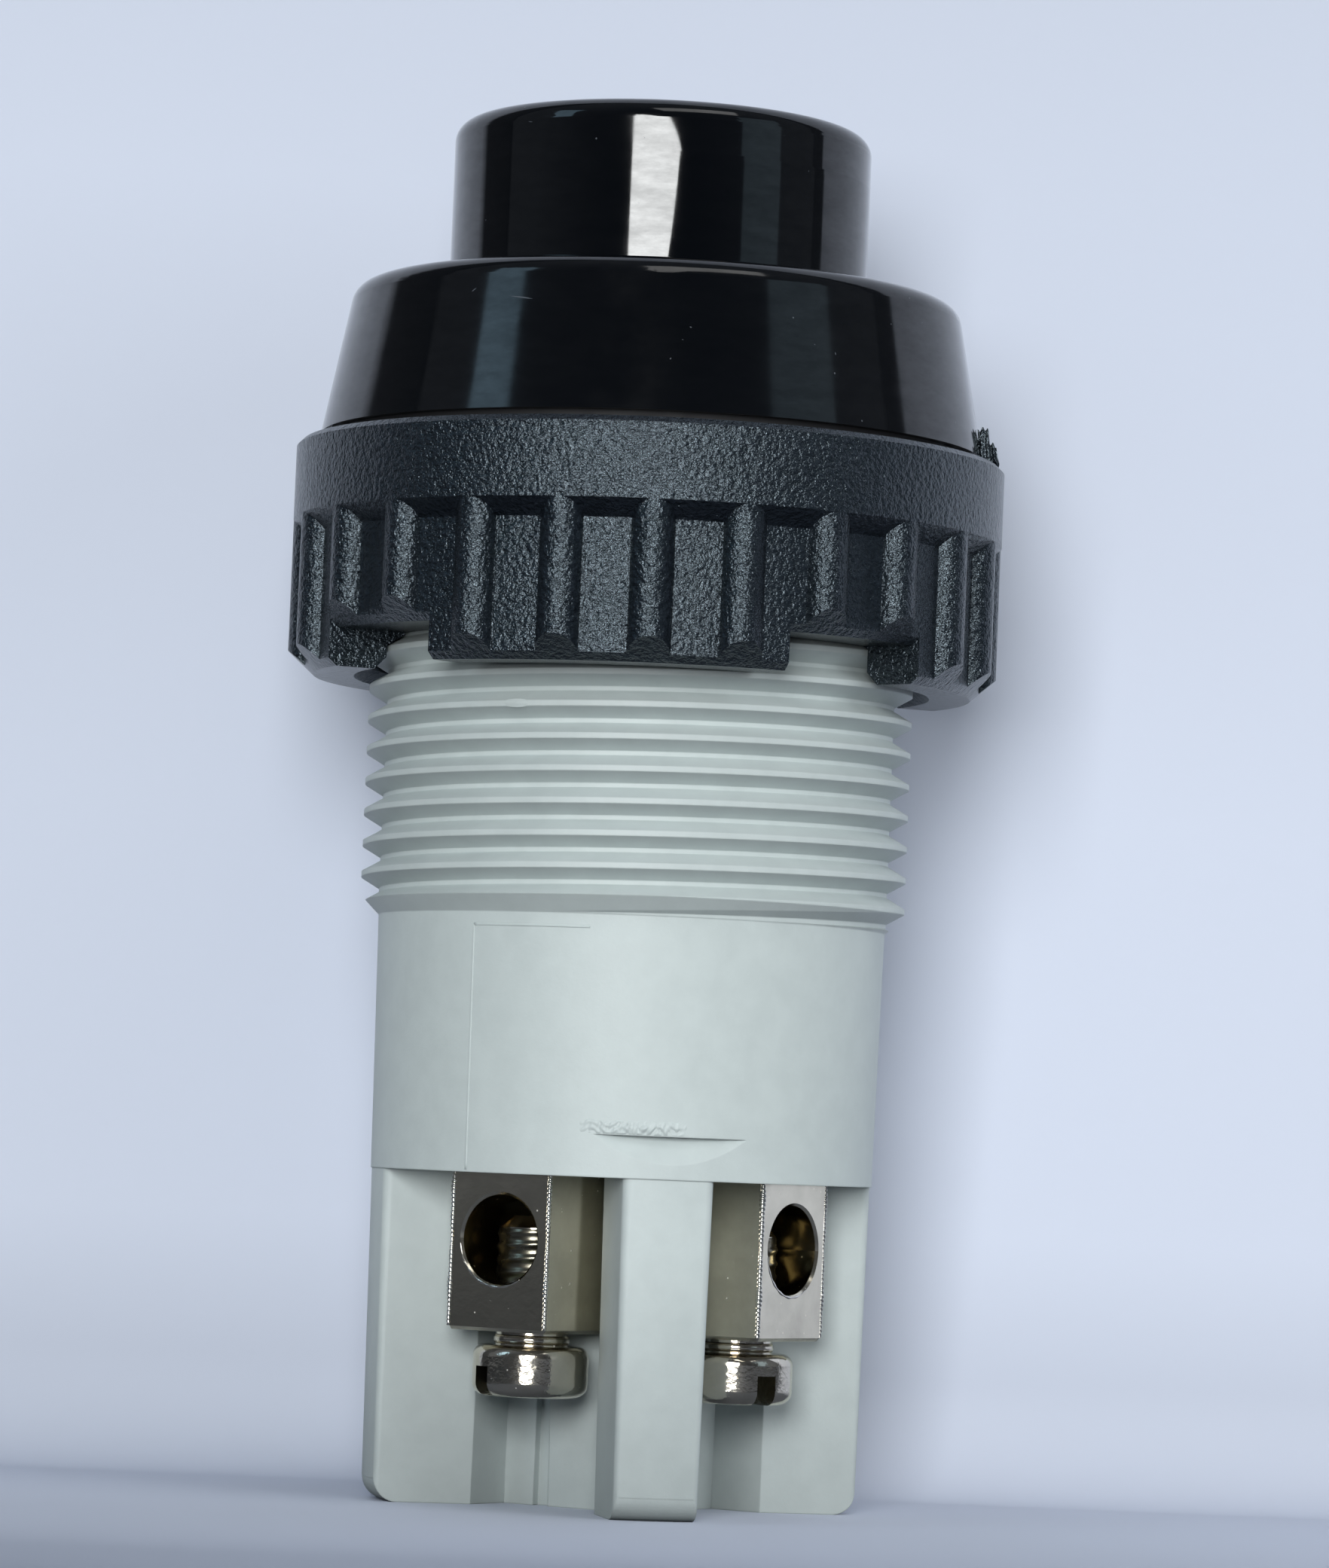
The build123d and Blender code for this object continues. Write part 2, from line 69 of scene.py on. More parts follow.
def aim_camera():
    """The camera stands at an azimuth, height and distance from the axis.

    It faces the axis on the level and is then turned by pitch, yaw and roll.
    """
    a = math.radians(CAMERA_SIDE)
    level = Vector((-math.cos(a), -math.sin(a), 0))
    right = Vector((-math.sin(a), math.cos(a), 0))
    up = Vector((0, 0, 1))
    pitch, yaw, roll = (math.radians(v) for v in (CAMERA_PITCH, CAMERA_YAW, CAMERA_ROLL))
    ahead = level * math.cos(pitch) + up * math.sin(pitch)
    over = up * math.cos(pitch) - level * math.sin(pitch)
    ahead, right = (
        ahead * math.cos(yaw) + right * math.sin(yaw),
        right * math.cos(yaw) - ahead * math.sin(yaw),
    )
    across = right * math.cos(roll) + over * math.sin(roll)
    over = over * math.cos(roll) - right * math.sin(roll)
    data = bpy.data.cameras.new("camera")
    data.sensor_width = SENSOR
    data.lens = FOCAL_PIXELS / PHOTO_HEIGHT * SENSOR
    data.clip_start, data.clip_end = CLIP_NEAR, CLIP_FAR
    camera = bpy.data.objects.new("camera", data)
    turn = Matrix((across, over, -ahead)).transposed().to_4x4()
    place = Vector((math.cos(a) * CAMERA_DISTANCE, math.sin(a) * CAMERA_DISTANCE, CAMERA_HEIGHT))
    camera.matrix_world = Matrix.Translation(place) @ turn
    bpy.context.scene.collection.objects.link(camera)
    bpy.context.scene.camera = camera


aim_camera()

# Surfaces
MERGE_DISTANCE, SLIVER = 1e-7, 1e-8


def surface(name, grid, wrap=False, smooth=True):
    """A mesh object from a grid of points (rows, columns, 3): each point joins its neighbours.

    With wrap, the last column joins the first. Rows that fall on one point become poles.
    """
    rows, columns = grid.shape[:2]
    i, j = np.meshgrid(np.arange(rows - 1), np.arange(columns if wrap else columns - 1), indexing="ij")
    here, below, beside = i * columns, (i + 1) * columns, (j + 1) % columns
    quads = np.stack([here + j, below + j, below + beside, here + beside], -1).reshape(-1, 4)
    mesh = bpy.data.meshes.new(name)
    mesh.from_pydata(grid.reshape(-1, 3).tolist(), [], quads.tolist())
    work = bmesh.new()
    work.from_mesh(mesh)
    bmesh.ops.remove_doubles(work, verts=work.verts, dist=MERGE_DISTANCE)
    bmesh.ops.dissolve_degenerate(work, edges=work.edges, dist=SLIVER)
    bmesh.ops.recalc_face_normals(work, faces=work.faces)
    for face in work.faces:
        face.smooth = smooth
    work.to_mesh(mesh)
    work.free()
    piece = bpy.data.objects.new(name, mesh)
    bpy.context.scene.collection.objects.link(piece)
    return piece


def circle(count):
    """Evenly spaced angles over one full turn."""
    return np.linspace(0, 2 * np.pi, count, endpoint=False)


def closed_run(rings):
    """Closes a run of rings (n, m, 3) at both ends by adding each end's middle point as a pole."""
    ends = [np.broadcast_to(ring.mean(0), ring.shape)[None] for ring in (rings[0], rings[-1])]
    return np.concatenate([ends[0], rings, ends[1]])


def dress(piece, body, material):
    """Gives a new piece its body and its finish."""
    piece.data.materials.append(material)
    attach(piece, body)
    return piece


# Node groups
def new_group(name, inputs, outputs):
    """An empty shader node group, with its sockets given as names and kinds."""
    group = bpy.data.node_groups.new(name, "ShaderNodeTree")
    kinds = {"float": "NodeSocketFloat", "vector": "NodeSocketVector"}
    for way, sockets in (("INPUT", inputs), ("OUTPUT", outputs)):
        for label, kind in sockets.items():
            group.interface.new_socket(label, in_out=way, socket_type=kinds[kind])
    return group, group.nodes.new("NodeGroupInput").outputs, group.nodes.new("NodeGroupOutput").inputs


def put(tree, kind, sets=None, **props):
    """Adds a node, sets its properties and its inputs: a socket is linked, anything else is a value."""
    made = tree.nodes.new(kind)
    for key, value in props.items():
        setattr(made, key, value)
    for key, value in (sets or {}).items():
        if isinstance(value, bpy.types.NodeSocket):
            tree.links.new(value, made.inputs[key])
        else:
            made.inputs[key].default_value = value
    return made


def noise(tree, vector, scale, detail, rough):
    """The value of a noise texture."""
    sets = {"Vector": vector, "Scale": scale, "Detail": detail, "Roughness": rough}
    return put(tree, "ShaderNodeTexNoise", sets).outputs["Fac"]


def ramp(tree, value, low, high, to_low=0.0, to_high=1.0):
    """A value carried from one range to another and held at its ends."""
    sets = {"Value": value, "From Min": low, "From Max": high, "To Min": to_low, "To Max": to_high}
    return put(tree, "ShaderNodeMapRange", sets, clamp=True).outputs["Result"]


def blend(tree, share, first, second):
    """A mix of two colours."""
    return put(tree, "ShaderNodeMix", {0: share, 6: first, 7: second}, data_type="RGBA").outputs[2]


def maths(tree, operation, first, second):
    """The result of one sum of two values."""
    return put(tree, "ShaderNodeMath", {0: first, 1: second}, operation=operation).outputs[0]


def times(tree, first, second):
    return maths(tree, "MULTIPLY", first, second)


def plus(tree, first, second):
    return maths(tree, "ADD", first, second)


def vectors(tree, operation, first, second, result="Vector"):
    """The result of one sum of two vectors: a vector, or a value."""
    return put(tree, "ShaderNodeVectorMath", {0: first, 1: second}, operation=operation).outputs[result]


MOTTLE_FINENESS = 1.7
SPOT_CORE = 0.55
NEEDLE_SIZE = 0.1
NEEDLE_TURNS = ((0.5, 0.4, 0.0), (-0.8, -0.5, 1.0), (1.35, 0.9, 2.0))


def moulded_grain():
    """Skin of a moulding: a fine pebbled height, a slow waviness, and a mottle for colour and gloss."""
    group, given, out = new_group(
        "moulded_grain",
        {"Position": "vector", "Pebble Scale": "float", "Wave Scale": "float", "Pebble Share": "float"},
        {"Height": "float", "Mottle": "float", "Pebble": "float"},
    )
    place = given["Position"]
    pebble = noise(group, place, given["Pebble Scale"], 3.0, 0.6)
    wave = noise(group, place, given["Wave Scale"], 2.0, 0.5)
    height = plus(group, times(group, pebble, given["Pebble Share"]), wave)
    mottle = noise(group, place, times(group, given["Wave Scale"], MOTTLE_FINENESS), 5.0, 0.6)
    group.links.new(height, out["Height"])
    group.links.new(mottle, out["Mottle"])
    group.links.new(pebble, out["Pebble"])
    return group


def dust_specks():
    """Scattered small specks: a soft spot in the middle of a few of a Voronoi pattern's cells."""
    group, given, out = new_group(
        "dust_specks",
        {"Position": "vector", "Scale": "float", "Size": "float", "Share": "float"},
        {"Speck": "float"},
    )
    sets = {"Vector": given["Position"], "Scale": given["Scale"]}
    cells = put(group, "ShaderNodeTexVoronoi", sets).outputs
    near = maths(group, "DIVIDE", cells["Distance"], given["Size"])
    spot = ramp(group, near, SPOT_CORE, 1.0, 1.0, 0.0)
    pick = put(group, "ShaderNodeSeparateColor", {0: cells["Color"]}).outputs[0]
    chosen = maths(group, "LESS_THAN", pick, given["Share"])
    group.links.new(times(group, spot, chosen), out["Speck"])
    return group


def hairline_scratches(specks):
    """Short straight scratches in three directions: specks drawn out into needles along a turned axis."""
    group, given, out = new_group(
        "hairline_scratches",
        {"Position": "vector", "Scale": "float", "Stretch": "float", "Share": "float"},
        {"Scratch": "float"},
    )
    needle = put(group, "ShaderNodeCombineXYZ", {0: 1.0, 1: 1.0, 2: given["Stretch"]}).outputs[0]
    total = None
    for turn in NEEDLE_TURNS:
        sets = {"Vector": given["Position"], "Rotation": turn}
        turned = put(group, "ShaderNodeMapping", sets).outputs[0]
        drawn = vectors(group, "DIVIDE", turned, needle)
        sets = {"Position": drawn, "Scale": given["Scale"], "Size": NEEDLE_SIZE, "Share": given["Share"]}
        mask = put(group, "ShaderNodeGroup", sets, node_tree=specks).outputs[0]
        total = mask if total is None else maths(group, "MAXIMUM", total, mask)
    group.links.new(total, out["Scratch"])
    return group


def round_hole_mask():
    """One inside a round hole: the distance from an axis through a point, against a radius."""
    group, given, out = new_group(
        "round_hole_mask",
        {"Position": "vector", "Through": "vector", "Axis": "vector", "Radius": "float"},
        {"Inside": "float"},
    )
    away = vectors(group, "SUBTRACT", given["Position"], given["Through"])
    across = vectors(group, "CROSS_PRODUCT", away, given["Axis"])
    reach = put(group, "ShaderNodeVectorMath", {0: across}, operation="LENGTH").outputs["Value"]
    group.links.new(maths(group, "LESS_THAN", reach, given["Radius"]), out["Inside"])
    return group


SINK_ANGLE, SINK_MIDDLE, SINK_HALF, SINK_SLOPE = 259.1, 0.1 * MM, 1.1 * MM, 0.06
# A smooth step is steepest in its middle, at 1.5 times its mean slope
SINK_HEIGHT = SINK_SLOPE * SINK_HALF * 4 / 3
SINK_TURN_BACK = 1.5
# Distances under the cap's top between which the mark deepens, and then turns back
SINK_RISE, SINK_FALL = (7.4 * MM, 2.6 * MM), (2.4 * MM, 0.8 * MM)


def sink_mark():
    """A shallow step down one side of the cap, whose slope grows up the cap and turns back near its top.

    The height is a smooth step across, times a rise with height less a quicker fall.
    """
    group, given, out = new_group("sink_mark", {"Position": "vector"}, {"Height": "float"})
    a = math.radians(SINK_ANGLE)
    across = vectors(group, "DOT_PRODUCT", given["Position"], (-math.sin(a), math.cos(a), 0), "Value")
    step = put(
        group, "ShaderNodeMapRange",
        {"Value": across, "From Min": SINK_MIDDLE - SINK_HALF, "From Max": SINK_MIDDLE + SINK_HALF},
        interpolation_type="SMOOTHSTEP",
    ).outputs["Result"]
    z = put(group, "ShaderNodeSeparateXYZ", {0: given["Position"]}).outputs["Z"]
    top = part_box("button_cap")[1][2]
    rise = ramp(group, z, top - SINK_RISE[0], top - SINK_RISE[1], 0.0, SINK_HEIGHT)
    fall = ramp(group, z, top - SINK_FALL[0], top - SINK_FALL[1], 0.0, -SINK_TURN_BACK * SINK_HEIGHT)
    group.links.new(times(group, step, plus(group, rise, fall)), out["Height"])
    return group


GRAIN, SPECKS, HOLE = moulded_grain(), dust_specks(), round_hole_mask()
SCRATCHES = hairline_scratches(SPECKS)


def placed(tree, group, **values):
    """A group placed in a material, reading Object coordinates."""
    sets = {"Position": put(tree, "ShaderNodeTexCoord").outputs["Object"]}
    sets.update((key.replace("_", " "), value) for key, value in values.items())
    return put(tree, "ShaderNodeGroup", sets, node_tree=group).outputs


# Materials: pairs of tones are the two ends of a mottle, and pairs of gloss its two roughnesses
GREY_TONES, GREY_GLOSS = ((0.44, 0.49, 0.487, 1), (0.47, 0.522, 0.518, 1)), (0.52, 0.6)
GREY_RELIEF, GREY_EDGE, EDGE_SAMPLES = 0.02 * MM, 0.09 * MM, 4
BLACK, BLACK_MARK = (0.0015, 0.002, 0.003, 1), (0.06, 0.068, 0.08, 1)
BLACK_RELIEF, BLACK_WORN_GLOSS, BLACK_MARK_GLOSS = 0.006 * MM, 1.8, 0.25
STREAK_TURN, STREAK_STRETCH, STREAK_SCALE = (0.25, 0.2, 0), (1.0, 1.0, 3.0), 520.0
STREAK_LEVELS = (0.42, 0.6)
NUT_TONES, NUT_GLOSS = ((0.002, 0.003, 0.0045, 1), (0.006, 0.008, 0.0115, 1)), (0.18, 0.25)
NUT_TINT, NUT_RELIEF = (0.74, 0.89, 1.0, 1), 0.027 * MM
RUBBER_TONES, RUBBER_GLOSS = ((0.006, 0.006, 0.007, 1), (0.014, 0.014, 0.016, 1)), (0.6, 0.8)
WHITE_TONES, WHITE_GLOSS = ((0.66, 0.66, 0.63, 1), (0.74, 0.74, 0.71, 1)), (0.4, 0.55)
RUBBER_RELIEF, WHITE_RELIEF = 0.02 * MM, 0.015 * MM
PLATE_RELIEF, PLATE_WORN_SHADE, PLATE_WORN_GLOSS, PLATE_MARK_GLOSS = 0.012 * MM, 0.86, 1.6, 0.2
DUST_METALLIC = 0.55


def new_material(name, **sockets):
    """A material with its Principled shader, whose constant values are set on its own sockets."""
    material = bpy.data.materials.new(name)
    material.use_nodes = True
    shader = material.node_tree.nodes["Principled BSDF"]
    for key, value in sockets.items():
        shader.inputs[key.replace("_", " ")].default_value = value
    return material, material.node_tree, shader


def bump(tree, shader, height, distance, strength=1.0):
    """Lifts a shader's surface by a height over a distance."""
    lift = put(tree, "ShaderNodeBump", {"Height": height, "Distance": distance, "Strength": strength})
    tree.links.new(lift.outputs[0], shader.inputs["Normal"])
    return lift


def mottled_gloss(tree, shader, grain, gloss):
    """Roughness that follows the mottle from one end to the other."""
    tree.links.new(ramp(tree, grain["Mottle"], 0.3, 0.7, *gloss), shader.inputs["Roughness"])


def grey_moulding(name, edge=None):
    """Grey moulded plastic: a faint mottle, a fine pebbled skin and a satin gloss.

    Where edge is given, the shading softens the edges to that radius.
    """
    material, tree, shader = new_material(name, Specular_IOR_Level=0.6)
    grain = placed(tree, GRAIN, Pebble_Scale=5200.0, Wave_Scale=420.0, Pebble_Share=0.5)
    colour = blend(tree, ramp(tree, grain["Mottle"], 0.35, 0.65), *GREY_TONES)
    tree.links.new(colour, shader.inputs["Base Color"])
    mottled_gloss(tree, shader, grain, GREY_GLOSS)
    lift = bump(tree, shader, grain["Height"], GREY_RELIEF, 0.6)
    if edge:
        soft = put(tree, "ShaderNodeBevel", {"Radius": edge}, samples=EDGE_SAMPLES)
        tree.links.new(soft.outputs[0], lift.inputs["Normal"])
    return material


def polished_black(name, rough, sink=None):
    """Polished black plastic with hairline scratches, a little dust and wiped streaks in its gloss."""
    material, tree, shader = new_material(name)
    scratch = placed(tree, SCRATCHES, Scale=3000.0, Stretch=30.0, Share=0.03)["Scratch"]
    speck = placed(tree, SPECKS, Scale=1500.0, Size=0.075, Share=0.08)["Speck"]
    grain = placed(tree, GRAIN, Pebble_Scale=900.0, Wave_Scale=160.0, Pebble_Share=0.2)
    marks = maths(tree, "MAXIMUM", scratch, speck)
    tree.links.new(blend(tree, marks, BLACK, BLACK_MARK), shader.inputs["Base Color"])
    worn = ramp(tree, grain["Mottle"], 0.35, 0.7, rough, rough * BLACK_WORN_GLOSS)
    gloss = plus(tree, worn, times(tree, marks, BLACK_MARK_GLOSS))
    tree.links.new(gloss, shader.inputs["Roughness"])
    fine = bump(tree, shader, grain["Height"], BLACK_RELIEF, 0.5)
    place = put(tree, "ShaderNodeTexCoord").outputs["Object"]
    sets = {"Vector": place, "Rotation": STREAK_TURN, "Scale": STREAK_STRETCH}
    drawn = put(tree, "ShaderNodeMapping", sets).outputs[0]
    streak = ramp(tree, noise(tree, drawn, STREAK_SCALE, 5.0, 0.7), 0.36, 0.66, *STREAK_LEVELS)
    tree.links.new(streak, shader.inputs["Specular IOR Level"])
    if sink:
        lift = bump(tree, shader, placed(tree, sink)["Height"], 1.0)
        tree.links.new(fine.outputs[0], lift.inputs["Normal"])
    return material


def eroded_black():
    """Black nut plastic with the sparkling texture of a spark-eroded mould."""
    material, tree, shader = new_material("eroded_black", Specular_IOR_Level=0.85, Specular_Tint=NUT_TINT)
    grain = placed(tree, GRAIN, Pebble_Scale=4300.0, Wave_Scale=1100.0, Pebble_Share=5.0)
    colour = blend(tree, ramp(tree, grain["Pebble"], 0.4, 0.65), *NUT_TONES)
    tree.links.new(colour, shader.inputs["Base Color"])
    mottled_gloss(tree, shader, grain, NUT_GLOSS)
    bump(tree, shader, grain["Height"], NUT_RELIEF)
    return material


def plain_skin(name, tones, gloss, relief, scales, **sockets):
    """A plain skin whose tone and gloss follow its mottle.

    scales are the pebble scale, the wave scale and the pebble share of its grain.
    """
    material, tree, shader = new_material(name, **sockets)
    pebble, wave, share = scales
    grain = placed(tree, GRAIN, Pebble_Scale=pebble, Wave_Scale=wave, Pebble_Share=share)
    tree.links.new(blend(tree, grain["Mottle"], *tones), shader.inputs["Base Color"])
    mottled_gloss(tree, shader, grain, gloss)
    bump(tree, shader, grain["Height"], relief, 0.5)
    return material


def plated(name, base, mark, rough, hole=None, relief=PLATE_RELIEF):
    """Plated metal with tool marks, scratches and specks.

    hole gives the point, axis, radius and colour of a raw bore through it.
    """
    material, tree, shader = new_material(name)
    scratch = placed(tree, SCRATCHES, Scale=3800.0, Stretch=6.0, Share=0.1)["Scratch"]
    speck = placed(tree, SPECKS, Scale=2300.0, Size=0.12, Share=0.2)["Speck"]
    grain = placed(tree, GRAIN, Pebble_Scale=3000.0, Wave_Scale=380.0, Pebble_Share=0.35)
    marks = maths(tree, "MAXIMUM", scratch, speck)
    shade = tuple(PLATE_WORN_SHADE * v for v in base[:3]) + (1,)
    worn = blend(tree, ramp(tree, grain["Mottle"], 0.35, 0.65), base, shade)
    colour = blend(tree, marks, worn, mark)
    if hole:
        through, axis, radius, raw = hole
        inside = placed(tree, HOLE, Through=through, Axis=axis, Radius=radius)["Inside"]
        colour = blend(tree, inside, colour, raw)
    tree.links.new(colour, shader.inputs["Base Color"])
    dulled = ramp(tree, grain["Mottle"], 0.3, 0.7, rough, rough * PLATE_WORN_GLOSS)
    gloss = plus(tree, dulled, times(tree, marks, PLATE_MARK_GLOSS))
    tree.links.new(gloss, shader.inputs["Roughness"])
    tree.links.new(ramp(tree, speck, 0.0, 1.0, 1.0, DUST_METALLIC), shader.inputs["Metallic"])
    bump(tree, shader, grain["Height"], relief, 0.5)
    return material


NICKEL = (0.72, 0.665, 0.55, 1)
NICKEL_MARK = (0.92, 0.88, 0.79, 1)
RAW_BRASS = (0.24, 0.2, 0.12, 1)
BLOCK_ROUGH = 0.13
SCREW_RELIEF = 0.09 * MM
BLOCK_CENTRE = 6.5 * MM
WIRE_HOLE_LEVEL = -35.4 * MM
WIRE_HOLE_RADIUS = 1.97 * MM
RAW_RADIUS = WIRE_HOLE_RADIUS + 0.01 * MM


def outward(number):
    """Unit vector from the axis to one terminal."""
    a = math.radians(TERMINALS[number])
    return Vector((math.cos(a), math.sin(a), 0))


GREY, GREY_MARK = grey_moulding("grey_moulding", GREY_EDGE), grey_moulding("grey_mark")
GLOSS_CAP = polished_black("polished_black_cap", 0.05, sink_mark())
GLOSS_BEZEL = polished_black("polished_black_bezel", 0.07)
ERODED = eroded_black()
RUBBER = plain_skin(
    "plain_rubber", RUBBER_TONES, RUBBER_GLOSS, RUBBER_RELIEF, (5000.0, 600.0, 0.8), Specular_IOR_Level=0.3
)
WHITE = plain_skin("white_moulding", WHITE_TONES, WHITE_GLOSS, WHITE_RELIEF, (4000.0, 400.0, 0.5))
STEEL = plated("nickel_screw", (0.68, 0.63, 0.54, 1), (0.9, 0.88, 0.84, 1), 0.1, relief=SCREW_RELIEF)
# Painted shade: the screw threads run inside the terminal blocks, and their metal colour is darkened for
# the shade there
SHADE_DARKENED_THREAD_STEEL = plated("thread_painted_shade", (0.22, 0.205, 0.16, 1), (0.5, 0.47, 0.4, 1), 0.2)
SPRING = plated("spring_wire", (0.5, 0.5, 0.5, 1), (0.7, 0.7, 0.7, 1), 0.25)
BRASS = plated("pressed_brass", (0.7, 0.52, 0.24, 1), (0.85, 0.7, 0.4, 1), 0.25)
BURR = plated("nickel_burr", (0.8, 0.77, 0.71, 1), (0.95, 0.93, 0.88, 1), 0.16)
SILVER = plated("silver_contact", (0.86, 0.85, 0.81, 1), (0.95, 0.94, 0.9, 1), 0.2)
finishes = {
    "housing": GREY, "bezel_ring": GLOSS_BEZEL, "button_cap": GLOSS_CAP, "ring_nut": ERODED,
    "panel_gasket": RUBBER, "plunger": WHITE, "retaining_clip": SPRING, "contact_spring": SPRING,
    "return_spring": SPRING, "nc_bridge": BRASS, "no_bridge": BRASS, "nc_bridge_tips": SILVER,
    "no_bridge_tips": SILVER, "nc_fixed_tips": SILVER, "no_fixed_tips": SILVER,
}
for number in TERMINALS:
    hole = ((0, 0, WIRE_HOLE_LEVEL), tuple(outward(number)), RAW_RADIUS, RAW_BRASS)
    finishes[f"terminal_block_{number}"] = plated(
        f"nickel_block_{number}", NICKEL, NICKEL_MARK, BLOCK_ROUGH, hole
    )
    finishes[f"terminal_screw_{number}"] = STEEL
    finishes[f"fixed_contact_{number}"] = BRASS
for name, material in finishes.items():
    nodes[name].data.materials.clear()
    nodes[name].data.materials.append(material)

# Return spring
FLOOR_OF_CHAMBER = -30.6 * MM
SPRING_RADIUS, SPRING_WIRE, SPRING_TURNS = 2.9 * MM, 0.7 * MM, 6
STEPS_PER_TURN, WIRE_SIDES = 32, 12


def coil(radius, wire, turns, low, high):
    """A round wire wound on a circle while it climbs at a steady rate, closed to a point at each end."""
    t = np.linspace(0, 2 * np.pi * turns, turns * STEPS_PER_TURN + 1)
    rise = (high - low - wire) / t[-1]
    middle = np.stack([radius * np.cos(t), radius * np.sin(t), low + wire / 2 + rise * t], -1)
    out = np.stack([np.cos(t), np.sin(t), 0 * t], -1)
    along = np.stack([-radius * np.sin(t), radius * np.cos(t), rise + 0 * t], -1)
    along /= np.linalg.norm(along, axis=1)[:, None]
    over = np.cross(out, along)
    s = circle(WIRE_SIDES)
    ring = np.cos(s)[None, :, None] * out[:, None] + np.sin(s)[None, :, None] * over[:, None]
    return closed_run(middle[:, None] + wire / 2 * ring)


spring_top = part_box("return_spring")[1][2]
return_coil = surface(
    "return_coil", coil(SPRING_RADIUS, SPRING_WIRE, SPRING_TURNS, FLOOR_OF_CHAMBER, spring_top), wrap=True
)
dress(return_coil, "base", SPRING)
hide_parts("return_spring")
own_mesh(return_coil)

# Threads and necks of the terminal screws
SCREW_CORE, SCREW_CREST, SCREW_PITCH = 1.605 * MM, 1.685 * MM, 0.6 * MM
THREAD_TOP, THREAD_FOOT = -34.9 * MM, -39.4 * MM
FADE_AT_TOP, FADE_AT_FOOT = 0.3 * MM, 0.2 * MM
CREST_SHARPNESS = 1.6
NECK_MIDDLE, NECK_HALF = -39.75 * MM, 0.22 * MM
NECK_CORE, NECK_BULGE, NECK_ROUNDNESS = SCREW_CORE - 0.1 * MM, 0.175 * MM, 0.7
SCREW_SIDES, THREAD_STEPS, NECK_STEPS = 56, 160, 15


def screw_thread(number):
    """A radius over turn and height: the core's, and a rounded crest along a helix.

    The crest fades at both ends.
    """
    turn = circle(SCREW_SIDES)[None, :]
    z = np.linspace(THREAD_TOP, THREAD_FOOT, THREAD_STEPS)[:, None]
    phase = z / SCREW_PITCH - turn / (2 * np.pi)
    crest = (0.5 + 0.5 * np.cos(2 * np.pi * phase)) ** CREST_SHARPNESS
    inside = np.clip((THREAD_TOP - z) / FADE_AT_TOP, 0, 1) * np.clip((z - THREAD_FOOT) / FADE_AT_FOOT, 0, 1)
    r = SCREW_CORE + (SCREW_CREST - SCREW_CORE) * crest * inside
    return turned_piece(f"screw_thread_{number}", number, r, turn, z, SHADE_DARKENED_THREAD_STEEL)


def screw_neck(number):
    """A radius over turn and height: a rounded collar between the block and the head."""
    turn = circle(SCREW_SIDES)[None, :]
    u = np.linspace(-1, 1, NECK_STEPS)[:, None]
    z = NECK_MIDDLE + NECK_HALF * np.sin(u * np.pi / 2)
    r = NECK_CORE + NECK_BULGE * np.cos(u * np.pi / 2) ** NECK_ROUNDNESS + 0 * turn
    return turned_piece(f"screw_neck_{number}", number, r, turn, z, STEEL)


def turned_piece(name, number, r, turn, z, material):
    """A closed piece about one screw's axis, from a radius over turn and height."""
    centre = outward(number) * BLOCK_CENTRE
    x, y = centre.x + r * np.cos(turn), centre.y + r * np.sin(turn)
    grid = np.stack([x, y, np.broadcast_to(z, r.shape)], -1)
    piece = surface(name, closed_run(grid), wrap=True)
    return dress(piece, f"screw_{number}", material)


for number in TERMINALS:
    screw_thread(number)
    screw_neck(number)

# Torn flash on the ring nut's top edge
FLASH_ANGLE, FLASH_RADIUS = 341.6, 15.3 * MM
FLASH_WIDTH, FLASH_HEIGHT, FLASH_THICKNESS = 0.88 * MM, 1.9 * MM, 0.28 * MM
FLASH_SUNK = 0.1 * MM
LIP_LEVEL, LIP_HALF = 0.22 * MM, 0.09 * MM
FLASH_STEPS, FLASH_SIDES = 27, 14


def nut_flash():
    """A thin blade across the rim, whose ragged top steps down outwards, on a flat torn lip."""
    u = np.linspace(-0.5, 0.5, FLASH_STEPS)
    v = circle(FLASH_SIDES)
    half = FLASH_THICKNESS / 2
    # The top as a share of the height: a step, a ripple, and ends that fall away
    step = 0.62 + 0.36 / (1 + np.exp((u - 0.1) / 0.03))
    top = step + 0.05 * np.sin(23 * u + 0.6) - 0.5 * np.abs(u) ** 3
    level = (0.5 + 0.5 * np.sin(v))[None, :]
    z = level * FLASH_HEIGHT * top[:, None] - FLASH_SUNK
    # The lip spreads the blade's foot, and the blade leans and bends as it rises
    lip = np.exp(-(((z - LIP_LEVEL) / LIP_HALF) ** 2))
    radial = FLASH_RADIUS + FLASH_WIDTH * (u[:, None] * (1 + 0.12 * lip) - 0.18 * (level - 0.3))
    side = np.cos(v)[None, :] * half * (0.8 + 0.2 * np.cos(19 * u))[:, None]
    bend = 0.1 * np.sin(7 * u)
    side = side * (1 + 1.6 * lip) + bend[:, None] * half * level
    a = math.radians(FLASH_ANGLE)
    x = radial * math.cos(a) - side * math.sin(a)
    y = radial * math.sin(a) + side * math.cos(a)
    piece = surface("nut_flash", closed_run(np.stack([x, y, z], -1)), wrap=True, smooth=False)
    return dress(piece, "nut", ERODED)


nut_flash()

